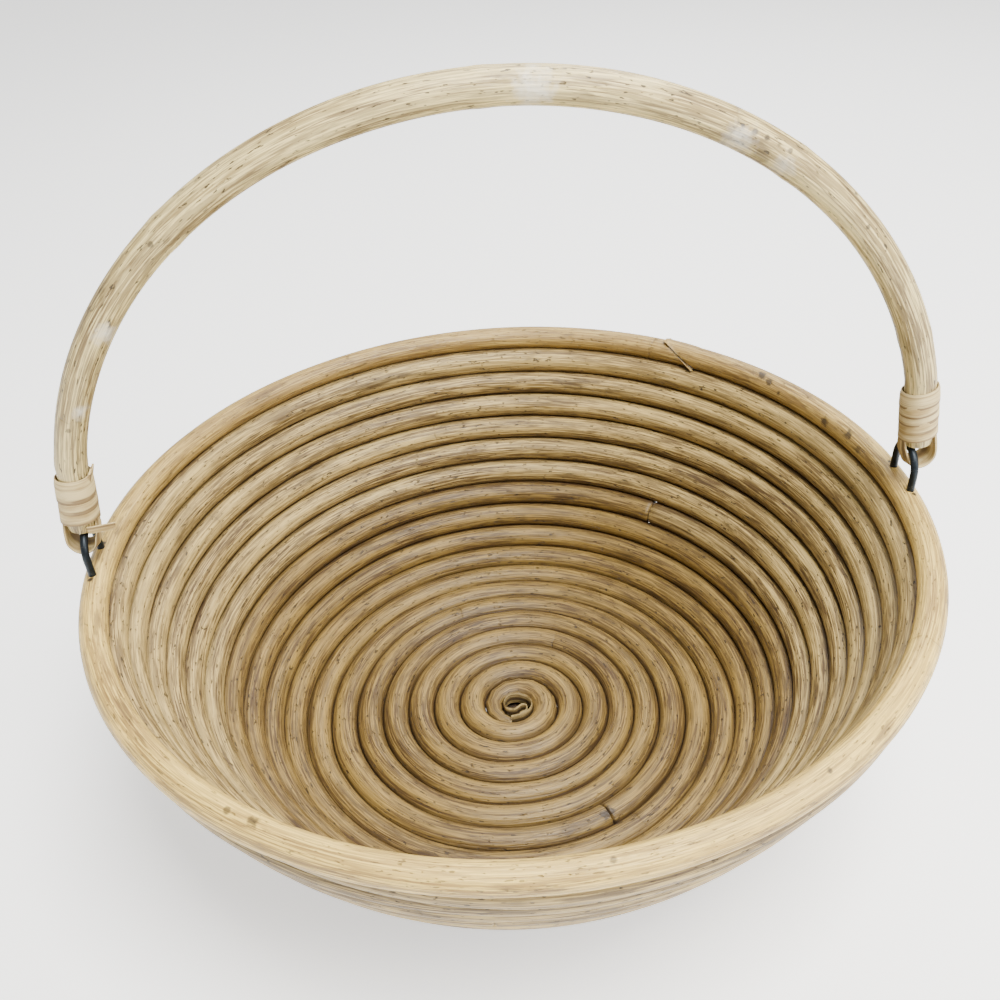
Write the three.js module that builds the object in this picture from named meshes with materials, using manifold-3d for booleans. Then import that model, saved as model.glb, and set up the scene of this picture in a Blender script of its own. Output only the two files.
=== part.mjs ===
import * as THREE from "three";
import Module from "manifold-3d";

// Coiled rattan fruit basket with a swinging bail handle. Units mm, +Z up.
const PITCH = 10.8;
const ROD_R = 0.478 * PITCH;
const RIM_R = 0.46 * PITCH;
const RIM_TURN = 18.92;
const LAST_TURN = 17.92;
const COIL_END = 18.42;
const CLOSE_ZONE = 0.2;
const PHASE = THREE.MathUtils.degToRad(57.2);
const STEPS = 24;
const GRID = 0.3269;
const FLAT_TURNS = 7;
const HEEL_TURN = 10;
const HEEL_SLOPE = 52;
const RIM_SLOPE = 72;
const CENTRE_TURN = 0.66;
const JOINT_A = 6.3394;
const JOINT_B = 12.024;
const JOINT_C = 15.4311;
const JOINT_GAP = 0.35;
const SCARF_ANGLE = THREE.MathUtils.degToRad(51);
const POLE_R = 0.54 * PITCH;
const ARCH_A = 13.8 * PITCH;
const ARCH_B = 13.2 * PITCH;
const ARCH_Z = 1.3 * PITCH;
const POLE_END = 1.9 * PITCH;
const BIND_TOP = 4.3 * PITCH;
const STRAP_OFF = 0.56 * PITCH;
const STRAP_T = 0.09 * PITCH;
const STRAP_W = 0.5 * PITCH;
const BIND_IN = 0.67 * PITCH;
const BIND_OUT = 0.75 * PITCH;
const WIRE_R = 0.11 * PITCH;
const WIRE_HALF = 0.73 * PITCH;
const PIVOT_UP = 1.0 * PITCH;
const WIRE_DEEP = 0.15 * PITCH;

const wasm = await Module();
wasm.setup();

// Bowl profile: flat floor, then a steady bend up to the rim.
function slope(s) {
  if (s <= FLAT_TURNS) return 0;
  if (s <= HEEL_TURN) return (HEEL_SLOPE * (s - FLAT_TURNS)) / (HEEL_TURN - FLAT_TURNS);
  return HEEL_SLOPE + ((RIM_SLOPE - HEEL_SLOPE) * (s - HEEL_TURN)) / (RIM_TURN - HEEL_TURN);
}

function profile(s) {
  const n = Math.max(1, Math.ceil(s / 0.05));
  const step = s / n;
  let r = 0;
  let z = ROD_R * Math.cos(Math.PI / 8);
  for (let i = 0; i < n; i += 1) {
    const a = THREE.MathUtils.degToRad(slope((i + 0.5) * step));
    r += Math.cos(a) * step * PITCH;
    z += Math.sin(a) * step * PITCH;
  }
  return { r, z };
}

const rim = profile(RIM_TURN);

// The coil is stretched a little round the bowl so that it closes level under the rim.
function lastTurnAt(s) {
  const w = (((s - COIL_END) % 1) + 1) % 1;
  return w < CLOSE_ZONE ? COIL_END + w - w / CLOSE_ZONE : COIL_END - 1 + w;
}

function coilPoint(s) {
  let level = (s * LAST_TURN) / lastTurnAt(s);
  if (s > COIL_END) {
    const below = ((s - 1) * LAST_TURN) / lastTurnAt(s);
    level = (below + RIM_TURN) / 2;
  }
  const angle = PHASE - 2 * Math.PI * s;
  const at = profile(level);
  return new THREE.Vector3(at.r * Math.cos(angle), at.r * Math.sin(angle), at.z);
}

// A run of straight steps between knots; every step of the sweep falls on a knot.
class KnotPath extends THREE.Curve {
  constructor(knots) {
    super();
    this.knots = knots;
  }

  getPoint(t, target = new THREE.Vector3()) {
    const last = this.knots.length - 1;
    const x = Math.min(Math.max(t, 0), 1) * last;
    const i = Math.min(Math.floor(x), last - 1);
    return target.copy(this.knots[i]).lerp(this.knots[i + 1], x - i);
  }

  getUtoTmapping(u) {
    return u;
  }
}

function ringShape(radius, sides) {
  const shape = new THREE.Shape();
  for (let i = 0; i < sides; i += 1) {
    const a = ((i + 0.5) * 2 * Math.PI) / sides;
    if (i === 0) shape.moveTo(radius * Math.cos(a), radius * Math.sin(a));
    else shape.lineTo(radius * Math.cos(a), radius * Math.sin(a));
  }
  shape.closePath();
  return shape;
}

function sweep(knots, shape) {
  const path = new KnotPath(knots);
  return new THREE.ExtrudeGeometry(shape, { steps: knots.length - 1, extrudePath: path });
}

function solid(geometry) {
  const seen = new Map();
  const points = [];
  const tris = [];
  const flat = geometry.index ? geometry.toNonIndexed() : geometry;
  const pos = flat.getAttribute("position");
  for (let i = 0; i < pos.count; i += 1) {
    const p = [pos.getX(i), pos.getY(i), pos.getZ(i)];
    const key = p.map((v) => Math.round(v * 1e4)).join(",");
    if (!seen.has(key)) {
      seen.set(key, points.length / 3);
      points.push(...p);
    }
    tris.push(seen.get(key));
  }
  const kept = [];
  for (let i = 0; i < tris.length; i += 3) {
    const [a, b, c] = [tris[i], tris[i + 1], tris[i + 2]];
    if (a !== b && b !== c && a !== c) kept.push(a, b, c);
  }
  return new wasm.Manifold(new wasm.Mesh({
    numProp: 3,
    vertProperties: new Float32Array(points),
    triVerts: new Uint32Array(kept),
  }));
}

function toGeometry(body) {
  const mesh = body.getMesh();
  const geometry = new THREE.BufferGeometry();
  const out = [];
  for (let i = 0; i < mesh.vertProperties.length; i += mesh.numProp) {
    out.push(mesh.vertProperties[i], mesh.vertProperties[i + 1], mesh.vertProperties[i + 2]);
  }
  geometry.setAttribute("position", new THREE.Float32BufferAttribute(out, 3));
  geometry.setIndex(Array.from(mesh.triVerts));
  geometry.computeVertexNormals();
  return geometry;
}

function material(colour, roughness, metalness = 0) {
  return new THREE.MeshStandardMaterial({ color: colour, roughness, metalness });
}

const cane = material(0xc8aa78, 0.55);
const caneRim = material(0xcfae80, 0.5);
const poleCane = material(0xc9b183, 0.45);
const peel = material(0xdcc79a, 0.6);
const blackWire = material(0x23282f, 0.5, 0.7);

const basket = new THREE.Group();
basket.name = "fruit_basket";

function add(name, geometry, mat) {
  const mesh = new THREE.Mesh(geometry, mat);
  mesh.name = name;
  basket.add(mesh);
}

// Knots at every grid angle, with the two cut ends lying on the straight steps between them.
function coilTurns(from, to) {
  const first = Math.floor((from - GRID) * STEPS);
  const last = Math.ceil((to - GRID) * STEPS);
  const grid = [];
  for (let i = first; i <= last; i += 1) grid.push(GRID + i / STEPS);
  const edge = 0.12 / STEPS;
  return [from, ...grid.filter((s) => s > from + edge && s < to - edge), to];
}

function onStep(s) {
  const i = Math.floor((s - GRID) * STEPS + 1e-6);
  const a = GRID + i / STEPS;
  const b = GRID + (i + 1) / STEPS;
  return coilPoint(a).lerp(coilPoint(b), (s - a) * STEPS);
}

function coilKnots(from, to) {
  return coilTurns(from, to).map(onStep);
}

function coilRod(name, from, to) {
  add(name, toGeometry(solid(sweep(coilKnots(from, to), ringShape(ROD_R, 8)))), cane);
}

function gapTurns(s) {
  return JOINT_GAP / (2 * Math.PI * profile(s).r);
}

coilRod("coil_rod_floor", CENTRE_TURN, JOINT_A - gapTurns(JOINT_A));
coilRod("coil_rod_lower_wall", JOINT_A + gapTurns(JOINT_A), JOINT_B - gapTurns(JOINT_B));
coilRod("coil_rod_middle_wall", JOINT_B + gapTurns(JOINT_B), JOINT_C - gapTurns(JOINT_C));

// The last rod is pared down to a thin end where the coil closes under the rim.
function upperRod() {
  const from = JOINT_C + gapTurns(JOINT_C);
  const turns = coilTurns(from, COIL_END + 0.825 * CLOSE_ZONE);
  const geometry = sweep(turns.map(onStep), ringShape(ROD_R, 8));
  const pared = turns.filter((s) => s > COIL_END).map((s) => {
    return { at: onStep(s), scale: Math.max(0.16, 0.97 - (s - COIL_END) / CLOSE_ZONE) };
  });
  const pos = geometry.getAttribute("position");
  const v = new THREE.Vector3();
  for (let i = 0; i < pos.count; i += 1) {
    v.fromBufferAttribute(pos, i);
    const hit = pared.find((p) => p.at.distanceTo(v) < ROD_R * 1.05);
    if (hit) {
      v.sub(hit.at).multiplyScalar(hit.scale).add(hit.at);
      pos.setXYZ(i, v.x, v.y, v.z);
    }
  }
  add("coil_rod_upper_wall", toGeometry(solid(geometry)), cane);
}

upperRod();

// Closed rim hoop with a slanting scarf joint and blind holes for the two staples.
function rimHoop() {
  const torus = new THREE.TorusGeometry(rim.r, RIM_R, 10, 2 * STEPS);
  torus.rotateZ(PHASE - 2 * Math.PI * GRID);
  torus.translate(0, 0, rim.z);
  const slab = new THREE.BoxGeometry(3.6 * PITCH, JOINT_GAP, 2 * PITCH);
  slab.rotateZ(SCARF_ANGLE + Math.PI / 2 - THREE.MathUtils.degToRad(28));
  slab.translate(rim.r * Math.cos(SCARF_ANGLE), rim.r * Math.sin(SCARF_ANGLE), rim.z);
  let hoop = solid(torus).subtract(solid(slab));
  for (const side of [-1, 1]) {
    for (const leg of [-1, 1]) {
      const hole = new THREE.CylinderGeometry(WIRE_R + 0.35, WIRE_R + 0.35, 1.5 * PITCH, 8);
      hole.rotateX(Math.PI / 2);
      const up = rim.z - WIRE_DEEP - 0.6 + 0.75 * PITCH;
      hole.translate(side * rim.r, leg * WIRE_HALF, up);
      hoop = hoop.subtract(solid(hole));
    }
  }
  add("rim_hoop", toGeometry(hoop), caneRim);
}

rimHoop();

// Wire staples: two legs in the rim and a round crown about the pivot.
function staple(name, side) {
  const pivot = rim.z + PIVOT_UP;
  const knots = [new THREE.Vector3(side * rim.r, -WIRE_HALF, rim.z - WIRE_DEEP)];
  for (let i = 0; i <= 8; i += 1) {
    const a = Math.PI - (Math.PI * i) / 8;
    knots.push(new THREE.Vector3(
      side * rim.r,
      WIRE_HALF * Math.cos(a),
      pivot + WIRE_HALF * Math.sin(a),
    ));
  }
  knots.push(new THREE.Vector3(side * rim.r, WIRE_HALF, rim.z - WIRE_DEEP));
  add(name, toGeometry(solid(sweep(knots, ringShape(WIRE_R, 8)))), blackWire);
}

staple("wire_staple_left", -1);
staple("wire_staple_right", 1);

// Handle: an upright arch with a straight bound length at each end.
function archPoint(up, side) {
  const k = (up - ARCH_Z) / ARCH_B;
  return new THREE.Vector3(side * ARCH_A * Math.sqrt(1 - k * k), 0, rim.z + up);
}

function archKnots() {
  const knots = [archPoint(POLE_END, -1)];
  const low = Math.asin((BIND_TOP - ARCH_Z) / ARCH_B);
  const count = 18;
  for (let i = 0; i <= count; i += 1) {
    const a = Math.PI - low - ((Math.PI - 2 * low) * i) / count;
    knots.push(new THREE.Vector3(
      ARCH_A * Math.cos(a),
      0,
      rim.z + ARCH_Z + ARCH_B * Math.sin(a),
    ));
  }
  knots.push(archPoint(POLE_END, 1));
  return knots;
}

add("handle_pole", toGeometry(solid(sweep(archKnots(), ringShape(POLE_R, 8)))), poleCane);

function endFrame(side) {
  const low = archPoint(POLE_END, side);
  const high = archPoint(BIND_TOP, side);
  const along = high.clone().sub(low).normalize();
  const across = new THREE.Vector3(along.z, 0, -along.x);
  return { low, along, across, length: high.distanceTo(low) };
}

function binding(name, side) {
  const { low, along, length } = endFrame(side);
  const from = low.clone().addScaledVector(along, 0.05 * PITCH);
  const to = low.clone().addScaledVector(along, length - 0.15 * PITCH);
  const outer = solid(sweep([from, to], ringShape(BIND_OUT, 8)));
  const a = from.clone().addScaledVector(along, -PITCH);
  const b = to.clone().addScaledVector(along, PITCH);
  const inner = solid(sweep([a, b], ringShape(BIND_IN, 8)));
  add(name, toGeometry(outer.subtract(inner)), peel);
}

binding("peel_binding_left", -1);
binding("peel_binding_right", 1);

function strap(name, side) {
  const { low, along, across } = endFrame(side);
  const centre = low.clone().addScaledVector(along, -0.4 * PITCH);
  const at = (x, y) => centre.clone().addScaledVector(across, x).addScaledVector(along, y);
  const top = 1.9 * PITCH;
  const knots = [at(-STRAP_OFF, top), at(-STRAP_OFF, 0.9 * PITCH)];
  for (let i = 0; i <= 8; i += 1) {
    const a = Math.PI + (Math.PI * i) / 8;
    knots.push(at(STRAP_OFF * Math.cos(a), STRAP_OFF * Math.sin(a)));
  }
  knots.push(at(STRAP_OFF, 0.9 * PITCH), at(STRAP_OFF, top));
  const half = new THREE.Shape();
  const h = STRAP_T / 2;
  const w = STRAP_W / 2;
  half.moveTo(-w, -h);
  half.lineTo(w, -h);
  half.lineTo(w, h);
  half.lineTo(-w, h);
  half.closePath();
  add(name, toGeometry(solid(sweep(knots, half))), peel);
}

strap("eye_strap_left", -1);
strap("eye_strap_right", 1);

export default basket;
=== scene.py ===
import math

import bpy
import numpy as np
from mathutils import Matrix, Vector


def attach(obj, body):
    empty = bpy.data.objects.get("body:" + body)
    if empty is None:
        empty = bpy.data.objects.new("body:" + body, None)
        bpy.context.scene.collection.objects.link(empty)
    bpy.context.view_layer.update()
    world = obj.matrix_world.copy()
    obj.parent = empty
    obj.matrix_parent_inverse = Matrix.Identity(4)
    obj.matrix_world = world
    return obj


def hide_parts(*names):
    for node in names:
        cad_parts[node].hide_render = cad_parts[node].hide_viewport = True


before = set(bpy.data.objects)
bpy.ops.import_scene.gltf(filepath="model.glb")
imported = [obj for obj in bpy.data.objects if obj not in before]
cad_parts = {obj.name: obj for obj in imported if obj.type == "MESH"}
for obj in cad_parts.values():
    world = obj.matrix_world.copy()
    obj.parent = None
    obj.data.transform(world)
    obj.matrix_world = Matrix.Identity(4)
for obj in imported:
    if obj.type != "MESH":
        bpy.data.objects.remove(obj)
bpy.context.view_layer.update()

# A coiled rattan fruit basket. All lengths are metres; CANE is the spacing of the coil's turns.
# A place along the coil is given in turns from its centre, running clockwise outwards.
CANE = 0.0108
COIL_START = math.radians(57.2)  # direction of the coil at every whole turn
FLAT_END, HEEL_END = 7, 10       # turns where the flat floor ends and where the wall begins
HEEL_SLOPE, RIM_SLOPE = 52, 72   # wall angle in degrees at the heel's end and at the rim
RIM_TURN = 18.92
TOP_TURN = 17.92                 # level of the last full turn, just below the rim
COIL_END = 18.42                 # where the last rod starts to be pared away
CLOSE_ZONE = 0.2                 # part of a turn over which the coil closes level
FLOOR_Z = 0.478 * CANE * math.cos(math.pi / 8)
FLOOR_LIFT = 0.00075             # so that the round floor canes rest on the ground
BUTT_GAP = 0.00022               # half the crack between two rods that are butted
BUTT_A = 6.3394
BUTT_B = 12.024
BUTT_C = 15.4311
SCARF = math.radians(51)


# ---------------------------------------------------------------- camera and lights

def place_camera():
    """Looks down into the bowl from the front, a little to the left and slightly rolled."""
    pan, tilt, roll = 0.0373, math.radians(38.7), math.radians(-4.6)
    ahead = Vector((math.sin(pan) * math.cos(tilt), math.cos(pan) * math.cos(tilt), -math.sin(tilt)))
    across = ahead.cross(Vector((0, 0, 1))).normalized()
    above = across.cross(ahead)
    right = math.cos(roll) * across + math.sin(roll) * above
    top = -math.sin(roll) * across + math.cos(roll) * above
    bpy.ops.object.camera_add()
    camera = bpy.context.object
    camera.name = "camera"
    camera.data.lens = 38.5
    camera.data.sensor_width = 36
    camera.data.shift_x = 0.019
    camera.data.shift_y = 0.045
    camera.data.clip_start = 0.01
    turn = Matrix((right, top, -ahead)).transposed().to_4x4()
    rim_height = 0.1031
    place = (-1.92 * CANE, -28.84 * CANE, rim_height + 22.5 * CANE)
    camera.matrix_world = Matrix.Translation(place) @ turn
    bpy.context.scene.camera = camera


def soft_light(name, place, aim, size, power, colour=(1, 1, 1)):
    bpy.ops.object.light_add(type="AREA", location=place)
    lamp = bpy.context.object
    lamp.name = name
    lamp.data.size = size
    lamp.data.energy = power
    lamp.data.color = colour
    lamp.rotation_euler = (Vector(aim) - Vector(place)).to_track_quat("-Z", "Y").to_euler()


def studio():
    world = bpy.data.worlds.new("studio")
    world.use_nodes = True
    sky = world.node_tree.nodes["Background"]
    sky.inputs["Color"].default_value = (1.0, 0.99, 0.97, 1)
    sky.inputs["Strength"].default_value = 0.50
    bpy.context.scene.world = world
    soft_light("overhead", (0.24, -0.34, 1.2), (0, 0, 0.05), 0.6, 38.0, (1.0, 0.985, 0.95))
    soft_light("window_back", (0.35, 0.85, 0.9), (0, 0, 0.1), 0.6, 9.0, (0.98, 0.99, 1.0))
    soft_light("window_side", (0.9, -0.5, 0.6), (0, 0, 0.1), 0.5, 9.0, (1.0, 0.99, 0.97))


# ---------------------------------------------------------------- bowl shape

def slope(turn):
    """Angle of the bowl's profile above level: floor, then heel, then wall."""
    heel = HEEL_SLOPE * (turn - FLAT_END) / (HEEL_END - FLAT_END)
    wall = HEEL_SLOPE + (RIM_SLOPE - HEEL_SLOPE) * (turn - HEEL_END) / (RIM_TURN - HEEL_END)
    return np.radians(np.where(turn <= FLAT_END, 0, np.where(turn <= HEEL_END, heel, wall)))


FINE = np.linspace(0, 20, 4001)
STEP = FINE[1] - FINE[0]
MID = slope((FINE[1:] + FINE[:-1]) / 2)
REACH = np.concatenate([[0], np.cumsum(np.cos(MID)) * STEP * CANE])
HEIGHT = np.concatenate([[0], np.cumsum(np.sin(MID)) * STEP * CANE]) + FLOOR_Z
HEIGHT += FLOOR_LIFT * np.clip((HEEL_END - FINE) / (HEEL_END - FLAT_END), 0, 1)


def bowl(turn):
    """Radius and height of the cane's centre line."""
    return np.interp(turn, FINE, REACH), np.interp(turn, FINE, HEIGHT)


RIM_R, RIM_Z = (float(v) for v in bowl(RIM_TURN))


def closing(turn):
    """The turn that sits at the top of the wall above this one, so that the coil ends level."""
    w = (turn - COIL_END) % 1
    return np.where(w < CLOSE_ZONE, COIL_END + w - w / CLOSE_ZONE, COIL_END - 1 + w)


def coil_line(turn):
    """Centre line, direction into the bowl and free half width of the coil at each turn."""
    top = closing(turn)
    level = turn * TOP_TURN / top
    half = 0.5 * TOP_TURN / top
    below = (turn - 1) * TOP_TURN / top
    last = turn > COIL_END
    level = np.where(last, (below + RIM_TURN) / 2, level)
    room = (RIM_TURN - 0.5 - below - 0.5) / 2
    half = np.where(last, np.clip(room, 0.03, 0.5), half)
    # The top turn is pressed a little into its neighbours, so no light shows between them.
    half = half + 0.03 * np.clip((turn - COIL_END + 0.9) / 0.2, 0, 1)
    r, z = bowl(level)
    a = COIL_START - 2 * math.pi * turn
    centre = np.stack([r * np.cos(a), r * np.sin(a), z], -1)
    lean = slope(level)
    inward = np.stack([-np.sin(lean) * np.cos(a), -np.sin(lean) * np.sin(a), np.cos(lean)], -1)
    return centre, inward, half * CANE


# ---------------------------------------------------------------- cane sweeps

def sway(x, seed):
    """Slow natural wander between -1 and 1 along a length of cane."""
    return (np.sin(x * 31 + seed) + np.sin(x * 53 + seed * 2.3) * 0.7 + np.sin(x * 97 + seed * 4.1) * 0.5) / 2.2


def skin(name, points, run, around, crease):
    """A closed tube over rings of points. UV layer "grain" is metres along by part of the way round."""
    n, m = len(run), len(around)
    faces, marks = [], []
    for i in range(n - 1):
        for j in range(m):
            k = (j + 1) % m
            faces.append((i * m + j, i * m + k, (i + 1) * m + k, (i + 1) * m + j))
            far = around[k] if k else 1.0
            marks += [(run[i], around[j]), (run[i], far), (run[i + 1], far), (run[i + 1], around[j])]
    faces.append(tuple(reversed(range(m))))
    marks += [(run[0], around[j]) for j in reversed(range(m))]
    faces.append(tuple((n - 1) * m + j for j in range(m)))
    marks += [(run[-1], around[j]) for j in range(m)]
    mesh = bpy.data.meshes.new(name)
    mesh.from_pydata([tuple(p) for p in points], [], faces)
    grain = mesh.uv_layers.new(name="grain")
    grain.data.foreach_set("uv", np.array(marks, dtype=np.float32).ravel())
    piece = bpy.data.objects.new(name, mesh)
    bpy.context.collection.objects.link(piece)
    select_only(piece)
    bpy.ops.object.mode_set(mode="EDIT")
    bpy.ops.mesh.select_all(action="SELECT")
    bpy.ops.mesh.normals_make_consistent(inside=False)
    bpy.ops.object.mode_set(mode="OBJECT")
    bpy.ops.object.shade_smooth_by_angle(angle=math.radians(crease))
    return piece


def lengths(path):
    """Distance along the path at each of its points."""
    return np.concatenate([[0], np.cumsum(np.linalg.norm(np.diff(path, axis=0), axis=1))])


def swept(name, centre, side_dir, section):
    """A closed mesh swept along centre; section(i) gives a ring's (x, y) points and their place round."""
    along = np.gradient(centre, axis=0)
    along /= np.linalg.norm(along, axis=1)[:, None]
    first = side_dir - (side_dir * along).sum(1)[:, None] * along
    first /= np.linalg.norm(first, axis=1)[:, None]
    second = np.cross(along, first)
    points, around = [], None
    for i in range(len(centre)):
        xy, around = section(i)
        points.extend(centre[i] + xy[:, :1] * first[i] + xy[:, 1:] * second[i])
    return skin(name, points, lengths(centre), around, 50)


def select_only(piece):
    bpy.ops.object.select_all(action="DESELECT")
    piece.select_set(True)
    bpy.context.view_layer.objects.active = piece


def round_section(radius, sides):
    around = np.arange(sides) / sides
    turn = 2 * math.pi * around
    ring = np.stack([np.cos(turn), np.sin(turn)], -1)
    return lambda i: (radius[i] * ring, around)


def turns_between(start, end):
    """Turns from start to end, about one every 4.5 mm of cane."""
    out = [start]
    while out[-1] < end:
        r = float(np.interp(out[-1], FINE, REACH))
        out.append(out[-1] + 0.0045 / (2 * math.pi * max(r, 0.0085)))
    out[-1] = end
    return np.array(out)


def coil_rod(name, start, end, seed, node, blunt=(True, True)):
    """One rod of the coil; blunt says whether its start and its end are cut square."""
    around_end = 2 * math.pi * float(bowl(np.array(end))[0])
    gap, ease = BUTT_GAP / around_end, 0.0006 / around_end
    turn = turns_between(start + gap, end - gap)
    turn = np.concatenate([[turn[0], turn[0] + ease], turn[1:-1], [turn[-1] - ease, turn[-1]]])
    centre, inward, half = coil_line(turn)
    run = lengths(centre)
    centre = centre + inward * (sway(run, seed) ** 2 * 0.010 * CANE)[:, None]
    radius = half * (1.012 + 0.010 * sway(run * 1.7, seed + 1))
    if blunt[0]:
        radius[0] *= 0.9
    else:
        # The pared start keeps its outer side against the next turn.
        taper = 0.35 + 0.65 * np.clip((turn - start) / 0.55, 0, 1) ** 0.8
        away = centre * (1, 1, 0) / np.linalg.norm(centre[:, :2], axis=1)[:, None]
        centre = centre + away * (half * (1 - taper))[:, None]
        radius *= taper
    if blunt[1]:
        radius[-1] *= 0.9
    rod = swept(name, centre, inward, round_section(radius, 20))
    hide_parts(node)
    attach(rod, "basket")
    return rod


# ---------------------------------------------------------------- finishes

class Recipe:
    """Small helper that wires up one material."""

    def __init__(self, name):
        self.material = bpy.data.materials.new(name)
        self.material.use_nodes = True
        self.tree = self.material.node_tree
        self.shader = self.tree.nodes["Principled BSDF"]

    def node(self, kind, **values):
        made = self.tree.nodes.new(kind)
        for key, value in values.items():
            setattr(made, key, value)
        return made

    def link(self, out, socket):
        self.tree.links.new(out, socket)

    def maths(self, operation, a, b=None):
        made = self.node("ShaderNodeMath", operation=operation)
        for i, value in enumerate((a, b)):
            if value is None:
                continue
            if isinstance(value, (int, float)):
                made.inputs[i].default_value = value
            else:
                self.link(value, made.inputs[i])
        return made.outputs[0]

    def noise(self, vector, scale, detail=3.0, rough=0.5, shift=(0, 0, 0)):
        mapping = self.node("ShaderNodeMapping")
        mapping.inputs["Scale"].default_value = scale
        mapping.inputs["Location"].default_value = shift
        self.link(vector, mapping.inputs["Vector"])
        made = self.node("ShaderNodeTexNoise")
        made.inputs["Scale"].default_value = 1.0
        made.inputs["Detail"].default_value = detail
        made.inputs["Roughness"].default_value = rough
        self.link(mapping.outputs[0], made.inputs["Vector"])
        return made.outputs["Fac"]

    def ramp(self, value, *stops):
        made = self.node("ShaderNodeValToRGB")
        band = made.color_ramp
        while len(band.elements) < len(stops):
            band.elements.new(0.5)
        for element, (place, colour) in zip(band.elements, stops):
            element.position = place
            if isinstance(colour, (int, float)):
                colour = (colour, colour, colour)
            element.color = (*colour, 1)
        self.link(value, made.inputs["Fac"])
        return made.outputs["Color"]

    def blend(self, amount, a, b, mode="MIX"):
        made = self.node("ShaderNodeMix", data_type="RGBA", blend_type=mode)
        for i, value in ((0, amount), (6, a), (7, b)):
            if isinstance(value, (int, float)):
                made.inputs[i].default_value = value
            elif isinstance(value, tuple):
                made.inputs[i].default_value = (*value, 1)
            else:
                self.link(value, made.inputs[i])
        return made.outputs[2]

    def round_grain(self, radius):
        """Coordinates in metres that run along the cane and join up all the way round it."""
        grain = self.node("ShaderNodeUVMap", uv_map="grain")
        split = self.node("ShaderNodeSeparateXYZ")
        self.link(grain.outputs["UV"], split.inputs[0])
        turn = self.maths("MULTIPLY", split.outputs["Y"], 2 * math.pi)
        join = self.node("ShaderNodeCombineXYZ")
        self.link(split.outputs["X"], join.inputs["X"])
        self.link(self.maths("MULTIPLY", self.maths("COSINE", turn), radius), join.inputs["Y"])
        self.link(self.maths("MULTIPLY", self.maths("SINE", turn), radius), join.inputs["Z"])
        return join.outputs[0], split.outputs["X"]


def dark_spot(recipe, colour, centre, size, depth, dark=(0.03, 0.018, 0.009), soft=0.25):
    """A small stain or hole at one point of the piece, or with a pale colour a painted highlight; soft is the
    width of its edge.
    """
    place = recipe.node("ShaderNodeTexCoord").outputs["Object"]
    wobble = recipe.node("ShaderNodeTexNoise")
    wobble.inputs["Scale"].default_value = 420
    wobble.inputs["Detail"].default_value = 3
    recipe.link(place, wobble.inputs["Vector"])
    gap = recipe.node("ShaderNodeVectorMath", operation="DISTANCE")
    recipe.link(place, gap.inputs[0])
    gap.inputs[1].default_value = centre
    reach = recipe.maths("DIVIDE", gap.outputs["Value"], size)
    ragged = recipe.maths("ADD", reach, recipe.maths("MULTIPLY", wobble.outputs["Fac"], 0.9))
    mask = recipe.ramp(ragged, (1.0 - soft, 1.0), (1.0, 0.0))
    return recipe.blend(recipe.maths("MULTIPLY", mask, depth), colour, dark)


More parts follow.
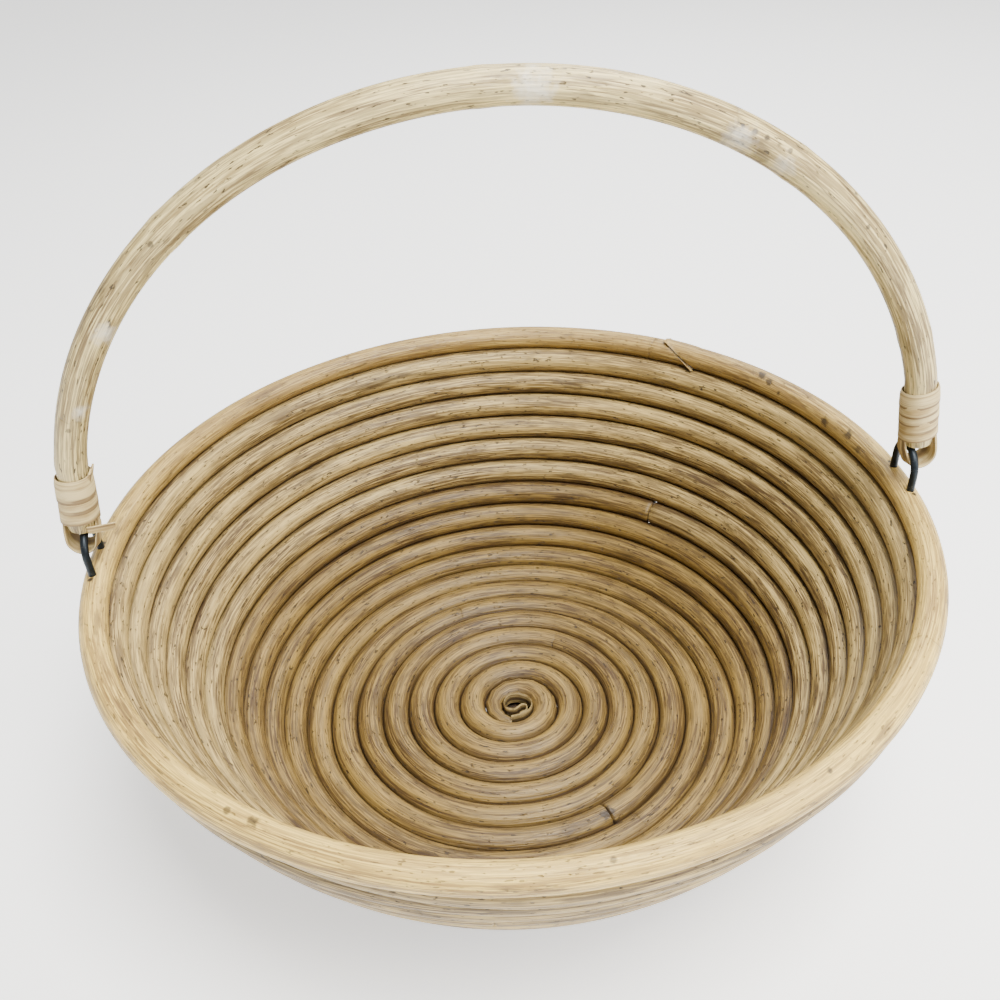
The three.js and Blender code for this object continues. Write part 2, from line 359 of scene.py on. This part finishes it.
def cane_finish(name, pale, mid, brown, seed, streaky=0.78, gloss=0.36, node_gap=0.31, start_brown=0.0,
                grime_and_shade=0.95, pored=0.85, back_shade=0.0, spots=(), wear_and_highlight=()):
    """Rattan: streaks along the grain, stains, grooves darkened with dirt and painted shade, pores and rings at
    the nodes.
    """
    recipe = Recipe(name)
    radius = 0.0055
    grain, length = recipe.round_grain(radius)
    shift = (seed * 1.37, seed * 2.11, seed * 0.77)
    tone = recipe.noise(grain, (9, 70, 70), 3, 0.6, shift)
    broad = recipe.noise(grain, (15, 380, 380), 3, 0.6, shift)
    fibre = recipe.noise(grain, (26, 880, 880), 4, 0.72, shift)
    fine = recipe.noise(grain, (60, 1900, 1900), 2, 0.6, shift)
    # Broad tone, then streaks from wide to fine.
    colour = recipe.ramp(tone, (0.43, mid), (0.57, pale))
    strip = recipe.ramp(broad, (0.41, 1.0), (0.54, 0.0))
    colour = recipe.blend(recipe.maths("MULTIPLY", strip, streaky * 0.62), colour, brown)
    lines = recipe.ramp(fibre, (0.435, 1.0), (0.495, 0.0))
    colour = recipe.blend(recipe.maths("MULTIPLY", lines, streaky), colour, brown)
    light = recipe.ramp(fine, (0.50, 0.0), (0.60, 1.0))
    colour = recipe.blend(recipe.maths("MULTIPLY", light, 0.6), colour, tuple(min(1, c * 1.6) for c in pale))
    # Pale and brown patches.
    patch = recipe.noise(grain, (30, 190, 190), 4, 0.7, shift)
    shine = recipe.ramp(patch, (0.57, 0.0), (0.68, 1.0))
    colour = recipe.blend(recipe.maths("MULTIPLY", shine, 0.5), colour, tuple(min(1, c * 1.5) for c in pale))
    stain = recipe.ramp(patch, (0.33, 1.0), (0.42, 0.0))
    colour = recipe.blend(recipe.maths("MULTIPLY", stain, 0.6), colour, tuple(c * 0.6 for c in brown))
    # Dirt and painted shade where a rod touches its neighbours: darkest at the rod's sides, fading towards its
    # top.
    side = recipe.node("ShaderNodeSeparateXYZ")
    recipe.link(grain, side.inputs[0])
    facing = recipe.maths("DIVIDE", recipe.maths("ABSOLUTE", side.outputs["Y"]), radius)
    facing = recipe.maths("ADD", facing, recipe.maths("MULTIPLY", broad, 0.35))
    dirt_and_shade = recipe.ramp(facing, (0.34, 1.0), (0.54, 0.66), (0.76, 0.26), (1.06, 0.0))
    colour = recipe.blend(recipe.maths("MULTIPLY", dirt_and_shade, grime_and_shade), colour, (0.040, 0.020, 0.007))
    pores = recipe.noise(grain, (300, 1100, 1100), 2, 0.5, shift)
    pores = recipe.ramp(pores, (0.655, 0.0), (0.685, 1.0))
    colour = recipe.blend(recipe.maths("MULTIPLY", pores, pored), colour, (0.03, 0.018, 0.008))
    # A thin broken ring at each node of the cane.
    wander = recipe.maths("MULTIPLY", recipe.noise(grain, (60, 260, 260), 2, 0.5, shift), 0.004)
    place = recipe.maths("ADD", recipe.maths("ADD", length, wander), seed * 0.061)
    ring = recipe.maths("PINGPONG", place, node_gap)
    scar = recipe.ramp(recipe.maths("MULTIPLY", ring, 100), (0.0, 1.0), (0.05, 0.4), (0.35, 0.0))
    scar = recipe.maths("MULTIPLY", scar, recipe.ramp(broad, (0.40, 0.15), (0.60, 1.0)))
    colour = recipe.blend(recipe.maths("MULTIPLY", scar, 0.5), colour, tuple(c * 0.5 for c in brown))
    # Brown at the rod's start, then painted shade that darkens the side away from the front.
    if start_brown:
        near = recipe.ramp(recipe.maths("DIVIDE", length, start_brown), (0.0, 1.0), (1.0, 0.0))
        mark = recipe.maths("MULTIPLY", near, recipe.ramp(broad, (0.3, 1.0), (0.62, 0.35)))
        colour = recipe.blend(recipe.maths("MULTIPLY", mark, 0.8), colour, tuple(c * 0.8 for c in brown))
    # Painted shade: towards the back (larger Y) the colour is multiplied darker.
    if back_shade:
        spot = recipe.node("ShaderNodeSeparateXYZ")
        recipe.link(recipe.node("ShaderNodeTexCoord").outputs["Object"], spot.inputs[0])
        far = recipe.maths("MULTIPLY", recipe.maths("ADD", spot.outputs["Y"], 0.15), 3.3)
        far = recipe.ramp(far, (0.35, 0.0), (0.80, back_shade))
        colour = recipe.blend(far, colour, (0.50, 0.47, 0.52), "MULTIPLY")
    for centre, size, depth in spots:
        colour = dark_spot(recipe, colour, centre, size, depth)
    # The pale spots are painted highlights.
    for centre, size, depth in wear_and_highlight:
        colour = dark_spot(recipe, colour, centre, size, depth, (0.80, 0.77, 0.68), 0.65)
    recipe.link(colour, recipe.shader.inputs["Base Color"])
    rough = recipe.ramp(fibre, (0.3, gloss + 0.22), (0.7, gloss))
    recipe.link(rough, recipe.shader.inputs["Roughness"])
    recipe.shader.inputs["Specular IOR Level"].default_value = 0.5
    height = recipe.maths("ADD", recipe.maths("MULTIPLY", fibre, 0.7), recipe.maths("MULTIPLY", broad, 0.5))
    height = recipe.maths("SUBTRACT", height, recipe.maths("MULTIPLY", pores, 0.8))
    height = recipe.maths("SUBTRACT", height, recipe.maths("MULTIPLY", scar, 0.5))
    bump = recipe.node("ShaderNodeBump")
    bump.inputs["Strength"].default_value = 0.9
    bump.inputs["Distance"].default_value = 0.0007
    recipe.link(height, bump.inputs["Height"])
    recipe.link(bump.outputs[0], recipe.shader.inputs["Normal"])
    return recipe.material


def peel_finish():
    recipe = Recipe("split_peel")
    grain, _ = recipe.round_grain(0.004)
    fibre = recipe.noise(grain, (30, 1400, 1400), 4, 0.6)
    patch = recipe.noise(grain, (60, 260, 260), 3, 0.6)
    colour = recipe.ramp(patch, (0.38, (0.44, 0.31, 0.12)), (0.56, (0.68, 0.54, 0.26)))
    lines = recipe.ramp(fibre, (0.34, 1.0), (0.5, 0.0))
    colour = recipe.blend(recipe.maths("MULTIPLY", lines, 0.6), colour, (0.26, 0.15, 0.06))
    side = recipe.node("ShaderNodeSeparateXYZ")
    recipe.link(grain, side.inputs[0])
    edge = recipe.maths("DIVIDE", recipe.maths("ABSOLUTE", side.outputs["Y"]), 0.004)
    edge = recipe.maths("ADD", edge, recipe.maths("MULTIPLY", patch, 0.7))
    edge = recipe.ramp(recipe.maths("SUBTRACT", edge, 0.35), (0.88, 0.0), (0.99, 1.0))
    colour = recipe.blend(recipe.maths("MULTIPLY", edge, 0.8), colour, (0.14, 0.075, 0.028))
    recipe.link(colour, recipe.shader.inputs["Base Color"])
    recipe.link(recipe.ramp(fibre, (0.3, 0.75), (0.7, 0.5)), recipe.shader.inputs["Roughness"])
    bump = recipe.node("ShaderNodeBump")
    bump.inputs["Strength"].default_value = 0.5
    bump.inputs["Distance"].default_value = 0.0004
    recipe.link(fibre, bump.inputs["Height"])
    recipe.link(bump.outputs[0], recipe.shader.inputs["Normal"])
    return recipe.material


def wire_finish():
    recipe = Recipe("black_wire")
    place = recipe.node("ShaderNodeTexCoord").outputs["Object"]
    scuff = recipe.noise(place, (900, 900, 900), 4, 0.6)
    broad = recipe.noise(place, (180, 180, 180), 3, 0.6)
    colour = recipe.ramp(broad, (0.35, (0.006, 0.010, 0.014)), (0.68, (0.018, 0.026, 0.034)))
    wear_and_highlight = recipe.ramp(scuff, (0.62, 0.0), (0.72, 1.0))
    colour = recipe.blend(recipe.maths("MULTIPLY", wear_and_highlight, 0.5), colour, (0.16, 0.15, 0.14))
    recipe.link(colour, recipe.shader.inputs["Base Color"])
    recipe.link(recipe.ramp(scuff, (0.3, 0.32), (0.7, 0.55)), recipe.shader.inputs["Roughness"])
    recipe.shader.inputs["Metallic"].default_value = 0.6
    bump = recipe.node("ShaderNodeBump")
    bump.inputs["Strength"].default_value = 0.3
    bump.inputs["Distance"].default_value = 0.0002
    recipe.link(scuff, bump.inputs["Height"])
    recipe.link(bump.outputs[0], recipe.shader.inputs["Normal"])
    return recipe.material


def wear(piece, finish):
    piece.data.materials.clear()
    piece.data.materials.append(finish)


# ---------------------------------------------------------------- coil and rim

place_camera()
studio()

PALE = (0.415, 0.297, 0.104)
TAN = (0.190, 0.125, 0.040)
BROWN = (0.060, 0.030, 0.010)
# Darker, more saturated copies of PALE and TAN: painted shade for the floor and lower wall at the bottom of the
# bowl.
PALE_SHADED = (0.232, 0.150, 0.038)
TAN_SHADED = (0.110, 0.067, 0.016)
floor_rod = coil_rod("floor_coil", 0.45, BUTT_A, 1.0, "coil_rod_floor", (False, True))
wear(floor_rod, cane_finish("cane_floor", PALE_SHADED, TAN_SHADED, BROWN, 1.3, spots=[
    ((0.0290, -0.0612, 0.0102), 0.0052, 0.9), ((0.0305, -0.0655, 0.0070), 0.0055, 0.9),
    ((0.0540, 0.0505, 0.0110), 0.0022, 0.8)]))
lower_rod = coil_rod("lower_wall_coil", BUTT_A, BUTT_B, 2.0, "coil_rod_lower_wall")
wear(lower_rod, cane_finish("cane_lower_wall", PALE_SHADED, TAN_SHADED, BROWN, 2.7, spots=[
    ((0.0275, -0.0628, 0.0102), 0.0042, 0.85), ((0.0310, -0.0670, 0.0070), 0.0055, 0.9)]))
middle_rod = coil_rod("middle_wall_coil", BUTT_B, BUTT_C, 3.0, "coil_rod_middle_wall")
wear(middle_rod, cane_finish("cane_middle_wall", PALE, TAN, BROWN, 4.1, start_brown=0.11))
upper_rod = coil_rod("upper_wall_coil", BUTT_C, COIL_END + 0.19, 4.0, "coil_rod_upper_wall", (True, False))
wear(upper_rod, cane_finish("cane_upper_wall", PALE, TAN, BROWN, 5.9, streaky=0.5))


def curled_tip():
    """The pared end of the first rod: a thin tongue of cane folded back on itself in two small loops."""
    knots = [(-0.20, -0.74), (0.20, -0.72), (0.55, -0.48), (0.67, -0.08), (0.52, 0.28), (0.15, 0.44),
             (-0.25, 0.38), (-0.46, 0.08), (-0.38, -0.22), (-0.06, -0.32), (0.22, -0.14), (0.44, -0.20),
             (0.40, -0.44), (0.14, -0.52)]
    knots = np.array(knots) * CANE
    t = np.arange(len(knots))
    fine = np.linspace(0, len(knots) - 1, 110)
    # A smooth run through the knots.
    line = np.zeros((len(fine), 2))
    for axis in range(2):
        line[:, axis] = np.interp(fine, t, knots[:, axis])
        for _ in range(9):
            line[1:-1, axis] = (line[:-2, axis] + 2 * line[1:-1, axis] + line[2:, axis]) / 4
    z = FLOOR_Z + FLOOR_LIFT + 0.14 * CANE + 0.04 * CANE * np.sin(fine * 1.3)
    path = np.column_stack([line, z])
    thick = 0.04 * CANE
    tall = 0.31 * CANE * (1 - 0.2 * fine / fine[-1])
    a = np.arange(10) / 10
    turn = 2 * math.pi * a

    def section(i):
        return np.stack([tall[i] * np.cos(turn), thick * np.sin(turn)], -1), a

    tip = swept("curled_tip", path, np.tile([0.0, 0.0, 1.0], (len(path), 1)), section)
    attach(tip, "basket")
    return tip


def pith_floor():
    """Torn pith that closes the small hollow at the middle of the coil, coloured near black as painted shade
    for the hollow.
    """
    bpy.ops.object.select_all(action="DESELECT")
    bpy.ops.mesh.primitive_cylinder_add(vertices=32, radius=1.2 * CANE, depth=0.16 * CANE,
                                        location=(0, 0, 0.1 * CANE))
    pith = bpy.context.object
    pith.name = "pith_floor"
    bpy.ops.object.mode_set(mode="EDIT")
    bpy.ops.mesh.select_all(action="SELECT")
    bpy.ops.mesh.bevel(offset=0.05 * CANE, segments=2)
    bpy.ops.object.mode_set(mode="OBJECT")
    bpy.ops.object.transform_apply(location=True, rotation=True, scale=True)
    bpy.ops.object.shade_smooth_by_angle(angle=math.radians(40))
    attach(pith, "basket")
    recipe = Recipe("pith_painted_shade")
    place = recipe.node("ShaderNodeTexCoord").outputs["Object"]
    torn = recipe.noise(place, (700, 700, 700), 4, 0.7)
    # Near-black colour: painted shade in the hollow at the coil's middle.
    recipe.link(recipe.ramp(torn, (0.35, (0.012, 0.007, 0.004)), (0.7, (0.06, 0.033, 0.013))),
                recipe.shader.inputs["Base Color"])
    recipe.link(recipe.ramp(torn, (0.3, 0.95), (0.7, 0.75)), recipe.shader.inputs["Roughness"])
    bump = recipe.node("ShaderNodeBump")
    bump.inputs["Distance"].default_value = 0.0006
    recipe.link(torn, bump.inputs["Height"])
    recipe.link(bump.outputs[0], recipe.shader.inputs["Normal"])
    wear(pith, recipe.material)


# The tip's sides and loops are darkened with dirt and painted shade.
wear(curled_tip(), cane_finish("cane_tip", (0.50, 0.37, 0.15), PALE, BROWN, 8.3, grime_and_shade=0.92, node_gap=0.5))
pith_floor()


def rim_hoop():
    """One rod bent into a hoop; its two ends lap in a short slanting scarf."""
    lap = math.radians(3.2)
    a = np.concatenate([
        np.linspace(SCARF + lap, SCARF - lap, 15)[:-1],
        np.linspace(SCARF - lap, SCARF + lap - 2 * math.pi, 200)[:-1],
        np.linspace(SCARF + lap - 2 * math.pi, SCARF - lap - 2 * math.pi, 15),
    ])
    out = np.stack([np.cos(a), np.sin(a), 0 * a], -1)
    seat_r, seat_z = (float(v) for v in bowl(RIM_TURN - 0.04))
    centre = out * seat_r + np.array([0, 0, seat_z])
    run = RIM_R * np.abs(a - a[0])
    radius = 0.455 * CANE * (1 + 0.015 * sway(run, 6.0))
    sides = 24
    around = np.arange(sides) / sides
    turn = 2 * math.pi * around
    # The scarf is cut along this direction across the rod, which points outwards and up.
    lift = -np.array([math.cos(math.radians(70)), math.sin(math.radians(70))])

    def section(i):
        xy = np.stack([np.cos(turn), np.sin(turn)], -1) * radius[i]
        rise = xy @ lift
        start = (SCARF + lap - a[i]) / (2 * lap)
        finish = (a[i] - (SCARF - lap - 2 * math.pi)) / (2 * lap)
        if start < 1:
            cut = radius[i] * (0.93 - 1.93 * start)
            xy = xy + np.clip(cut - rise, 0, None)[:, None] * lift * 0.995
            xy = xy + lift * 0.0007 * (1 - start) ** 0.5
        elif finish < 1:
            cut = radius[i] * (-0.96 + 1.96 * finish) - 0.0007
            xy = xy - np.clip(rise - cut, 0, None)[:, None] * lift * 0.995
        return xy, around

    hoop = swept("rim_hoop_cane", centre, -out, section)
    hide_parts("rim_hoop")
    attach(hoop, "basket")
    return hoop


rim = rim_hoop()


def on_rim(degrees, out, up):
    a = math.radians(degrees)
    return ((RIM_R + out * CANE) * math.cos(a), (RIM_R + out * CANE) * math.sin(a), RIM_Z + up * CANE)


# Stains on the rim: degrees round, out and up from its centre in canes, size, depth of colour.
RIM_MARKS = [
    (34.5, -0.20, 0.35, 0.0046, 0.9), (32.5, -0.30, 0.28, 0.0036, 0.85), (30.0, -0.38, 0.1, 0.0022, 0.8),
    (19.0, -0.40, 0.1, 0.0040, 0.85), (13.5, -0.30, 0.25, 0.0044, 0.8), (10.0, -0.40, 0.1, 0.0030, 0.6),
    (236.5, 0.05, 0.45, 0.0040, 0.75), (233.0, 0.1, 0.45, 0.0026, 0.7), (275.0, 0.1, 0.44, 0.0024, 0.7),
    (301.0, 0.1, 0.44, 0.0026, 0.8), (187.0, 0.42, 0.05, 0.0070, 0.45), (191.0, 0.42, 0.0, 0.0080, 0.45),
    (195.5, 0.42, -0.05, 0.0070, 0.4), (4.2, 0.0, 0.42, 0.0022, 0.95), (-4.0, 0.05, 0.42, 0.0022, 0.95),
    (176.0, 0.0, 0.42, 0.0022, 0.95), (184.0, 0.05, 0.42, 0.0024, 0.95)]
# Painted shade darkens the back of the rim.
wear(rim, cane_finish("cane_rim", (0.66, 0.450, 0.118), (0.43, 0.280, 0.075), (0.150, 0.078, 0.028), 7.7,
                      streaky=0.42, gloss=0.30, grime_and_shade=0.0, pored=0.45, back_shade=0.85, node_gap=0.35,
                      spots=[(on_rim(*mark[:3]), *mark[3:]) for mark in RIM_MARKS]))



# ---------------------------------------------------------------- handle

ARCH_A = 13.93 * CANE
ARCH_X = 0.10 * CANE
ARCH_B = 13.15 * CANE
ARCH_Z = RIM_Z + 1.3 * CANE
POLE_END = 1.9 * CANE
BIND_TOP = 4.3 * CANE


def arch_at(up, side):
    k = (RIM_Z + up - ARCH_Z) / ARCH_B
    return np.array([ARCH_X + side * ARCH_A * math.sqrt(1 - k * k), 0, RIM_Z + up])


def handle_pole():
    """One bent pole: half an oval with a short straight run at each end and low rings at its nodes."""
    low = math.asin((RIM_Z + BIND_TOP - ARCH_Z) / ARCH_B)
    a = np.linspace(math.pi - low, low, 190)
    arch = np.stack([ARCH_X + ARCH_A * np.cos(a), 0 * a, ARCH_Z + ARCH_B * np.sin(a)], -1)
    left = np.linspace(arch_at(POLE_END, -1), arch[0], 10)[:-1]
    right = np.linspace(arch[-1], arch_at(POLE_END, 1), 10)[1:]
    centre = np.concatenate([left, arch, right])
    run = lengths(centre)
    t = run / run[-1]
    centre = centre + np.array([0, 1, 0]) * (0.03 * CANE * sway(run * 0.6, 1.5))[:, None]
    radius = CANE * (0.485 + 0.03 * np.sin(math.pi * t) + 0.012 * sway(run, 2.0))
    for joint in (0.06, 0.27, 0.50, 0.72, 0.90):
        radius += CANE * 0.018 * np.exp(-((t - joint) / 0.006) ** 2)
    radius[0] *= 0.9
    radius[-1] *= 0.9
    pole = swept("bent_pole", centre, np.tile([0.0, 1.0, 0.0], (len(run), 1)), round_section(radius, 28))
    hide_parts("handle_pole")
    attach(pole, "handle")
    return pole


def on_pole(degrees, out):
    """A place on the front of the pole, out from its centre line by a part of the cane spacing."""
    a = math.radians(degrees)
    r = 0.47 * CANE
    return (ARCH_X + (ARCH_A + out * CANE) * math.cos(a), -r, ARCH_Z + (ARCH_B + out * CANE) * math.sin(a))


# Dark marks and pale painted highlights on the pole: degrees along the arch, out in canes, size, depth.
POLE_MARKS = [
    (57, -0.30, 0.0060, 0.5), (131, 0.1, 0.0022, 0.7), (160, 0.0, 0.0018, 0.6), (40, 0.1, 0.0016, 0.7),
    (61, 0.24, 0.0020, 0.8), (59.4, 0.22, 0.0024, 0.8), (57.8, 0.22, 0.0022, 0.8), (56, 0.24, 0.0018, 0.7),
    (54.4, 0.24, 0.0020, 0.7)]
POLE_HIGHLIGHTS = [
    (84.5, 0.0, 0.0130, 0.85), (144.5, -0.25, 0.0085, 0.75), (157, -0.30, 0.0065, 0.7),
    (60.5, -0.15, 0.0110, 0.7), (54, -0.20, 0.0085, 0.5)]
pole = handle_pole()
wear(pole, cane_finish("pole_cane", (0.62, 0.50, 0.225), (0.36, 0.265, 0.105), (0.11, 0.064, 0.026), 3.3,
                       streaky=0.62, gloss=0.28, node_gap=0.125, grime_and_shade=0.0,
                       spots=[(on_pole(*mark[:2]), *mark[2:]) for mark in POLE_MARKS],
                       wear_and_highlight=[(on_pole(*mark[:2]), *mark[2:]) for mark in POLE_HIGHLIGHTS]))



def end_frame(side):
    """Lowest point of the pole's end, its two directions and the length that is bound."""
    low, high = arch_at(POLE_END, side), arch_at(BIND_TOP, side)
    length = np.linalg.norm(high - low)
    along = (high - low) / length
    return low, along, np.array([along[2], 0, -along[0]]), length


def flat_section(width, thick):
    """Ring of a thin strip, slightly fuller in the middle of each face."""
    half, flat = width / 2, thick / 2
    pts = [(-half, -flat), (0, -1.25 * flat), (half, -flat), (1.04 * half, 0), (half, flat),
           (0.5 * half, 1.25 * flat), (0, 1.35 * flat), (-0.5 * half, 1.25 * flat), (-half, flat),
           (-1.04 * half, 0)]
    pts = np.array(pts)
    around = np.arange(len(pts)) / len(pts)
    return lambda i: (pts, around)


def eye_strap(side, name, node):
    """A strip of split cane up both sides of the pole's end, with its bight round the wire."""
    low, along, across, _ = end_frame(side)
    centre = low - 0.4 * CANE * along
    off = 0.515 * CANE
    path = [centre - off * across + y * CANE * along for y in np.linspace(1.9, 0.15, 9)]
    for a in np.linspace(math.pi, 2 * math.pi, 15):
        path.append(centre + off * (math.cos(a) * across + math.sin(a) * along))
    top = 2.66 if side < 0 else 1.9
    path += [centre + off * (1 + 0.3 * max(0, y - 2.2)) * across + y * CANE * along
             for y in np.linspace(0.15, top, 12)]
    path = np.array(path)
    high = (path - centre) @ along / CANE
    wide = np.interp(high, [0.1, 0.75, 2.3, 2.6], [0.86, 0.38, 0.38, 0.62])
    shape, around = flat_section(1.0, 0.06 * CANE)(0)

    def section(i):
        cup = 0.10 * CANE * (2 * shape[:, 0]) ** 2 * np.interp(high[i], [-0.3, 0.4], [1.0, 0.0])
        return np.stack([shape[:, 0] * wide[i] * CANE, shape[:, 1] + cup], -1), around

    strap = swept(name, path, np.tile([0.0, 1.0, 0.0], (len(path), 1)), section)
    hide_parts(node)
    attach(strap, "handle")
    return strap


def peel_binding(side, name, node):
    """A flat peel wound round the pole's end, each row lapping the one below."""
    low, along, across, length = end_frame(side)
    depth = np.array([0.0, 1.0, 0.0])
    rows, width = (3.3, 0.84 * CANE) if side < 0 else (5.2, 0.56 * CANE)
    a = np.linspace(0, rows * 2 * math.pi, int(rows * 40))
    climb = np.linspace(0.10 * CANE + width / 2, length - 0.12 * CANE - width / 2, len(a))
    swell = 0.508 * CANE + 0.055 * CANE * np.abs(np.cos(a)) ** 1.5
    swell = swell + 0.012 * CANE * sway(a * 0.05, 3.0 + side)
    way = np.cos(a)[:, None] * across + np.sin(a)[:, None] * depth
    path = low + climb[:, None] * along + swell[:, None] * way
    n = len(a)
    half, thick, lean = width / 2, 0.04 * CANE, 0.026 * CANE
    points = []
    for i in range(n):
        tip = min(1.0, 0.25 + min(i, n - 1 - i) / 14)
        shape = [(-1, 0, -lean), (-0.5, 0, 0), (0.5, 0, lean * 0.6), (1, 0, lean),
                 (1, 1, lean), (0.5, 1.25, lean * 0.6), (-0.5, 1.25, 0), (-1, 1, -lean)]
        for x, y, tilt in shape:
            points.append(path[i] - along * x * half * tip + way[i] * (y * thick + tilt))
    piece = skin(name, points, lengths(path), np.arange(8) / 8, 40)
    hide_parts(node)
    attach(piece, "handle")
    return piece


def peel_tail():
    """The loose end of the left binding, left sticking out towards the bowl."""
    low, along, across, _ = end_frame(-1)
    t = np.linspace(0, 1, 14)
    up, out, front = 0.20 + 0.05 * np.sin(t * 3), 0.30 + 0.80 * t, 0.50 - 0.28 * t ** 2
    path = low + CANE * (along * up[:, None] + across * out[:, None] + [0, -1, 0] * front[:, None])
    tail = swept("peel_tail", path, np.tile(along, (len(path), 1)), flat_section(0.26 * CANE, 0.05 * CANE))
    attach(tail, "handle")
    return tail


peel = peel_finish()
wear(peel_tail(), peel)
for side, word in ((-1, "left"), (1, "right")):
    wear(eye_strap(side, "strap_" + word, "eye_strap_" + word), peel)
    wear(peel_binding(side, "wound_peel_" + word, "peel_binding_" + word), peel)


# ---------------------------------------------------------------- wire staples

def wire_staple(side, name, node):
    """Round wire: a disc drawn up, spun over the crown and drawn down again."""
    x, reach, crown = side * RIM_R, 0.73 * CANE, RIM_Z + CANE
    foot = RIM_Z - 0.15 * CANE
    bpy.ops.object.select_all(action="DESELECT")
    bpy.ops.mesh.primitive_circle_add(vertices=16, radius=0.128 * CANE, fill_type="NGON",
                                      location=(x, -reach, foot))
    wire = bpy.context.object
    wire.name = name
    bpy.ops.object.mode_set(mode="EDIT")
    bpy.ops.mesh.select_all(action="SELECT")
    bpy.ops.mesh.extrude_region_move(TRANSFORM_OT_translate={"value": (0, 0, crown - foot)})
    bpy.ops.mesh.spin(steps=20, angle=math.pi, center=(x, 0, crown), axis=(1, 0, 0))
    bpy.ops.mesh.extrude_region_move(TRANSFORM_OT_translate={"value": (0, 0, foot - crown)})
    bpy.ops.mesh.select_all(action="SELECT")
    bpy.ops.mesh.remove_doubles(threshold=0.00001)
    bpy.ops.mesh.normals_make_consistent(inside=False)
    bpy.ops.object.mode_set(mode="OBJECT")
    bpy.ops.object.transform_apply(location=True, rotation=True, scale=True)
    bpy.ops.object.shade_smooth_by_angle(angle=math.radians(50))
    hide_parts(node)
    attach(wire, "basket")
    return wire


black = wire_finish()
wear(wire_staple(-1, "staple_left", "wire_staple_left"), black)
wear(wire_staple(1, "staple_right", "wire_staple_right"), black)


# ---------------------------------------------------------------- floor

def studio_floor():
    bpy.ops.object.select_all(action="DESELECT")
    bpy.ops.mesh.primitive_plane_add(size=8, location=(0, 0, -0.0002))
    ground = bpy.context.object
    ground.name = "studio_floor"
    recipe = Recipe("pale_floor")
    recipe.shader.inputs["Base Color"].default_value = (0.92, 0.92, 0.91, 1)
    recipe.shader.inputs["Emission Color"].default_value = (1, 1, 1, 1)
    recipe.shader.inputs["Emission Strength"].default_value = 1.0
    recipe.shader.inputs["Roughness"].default_value = 0.8
    wear(ground, recipe.material)


studio_floor()
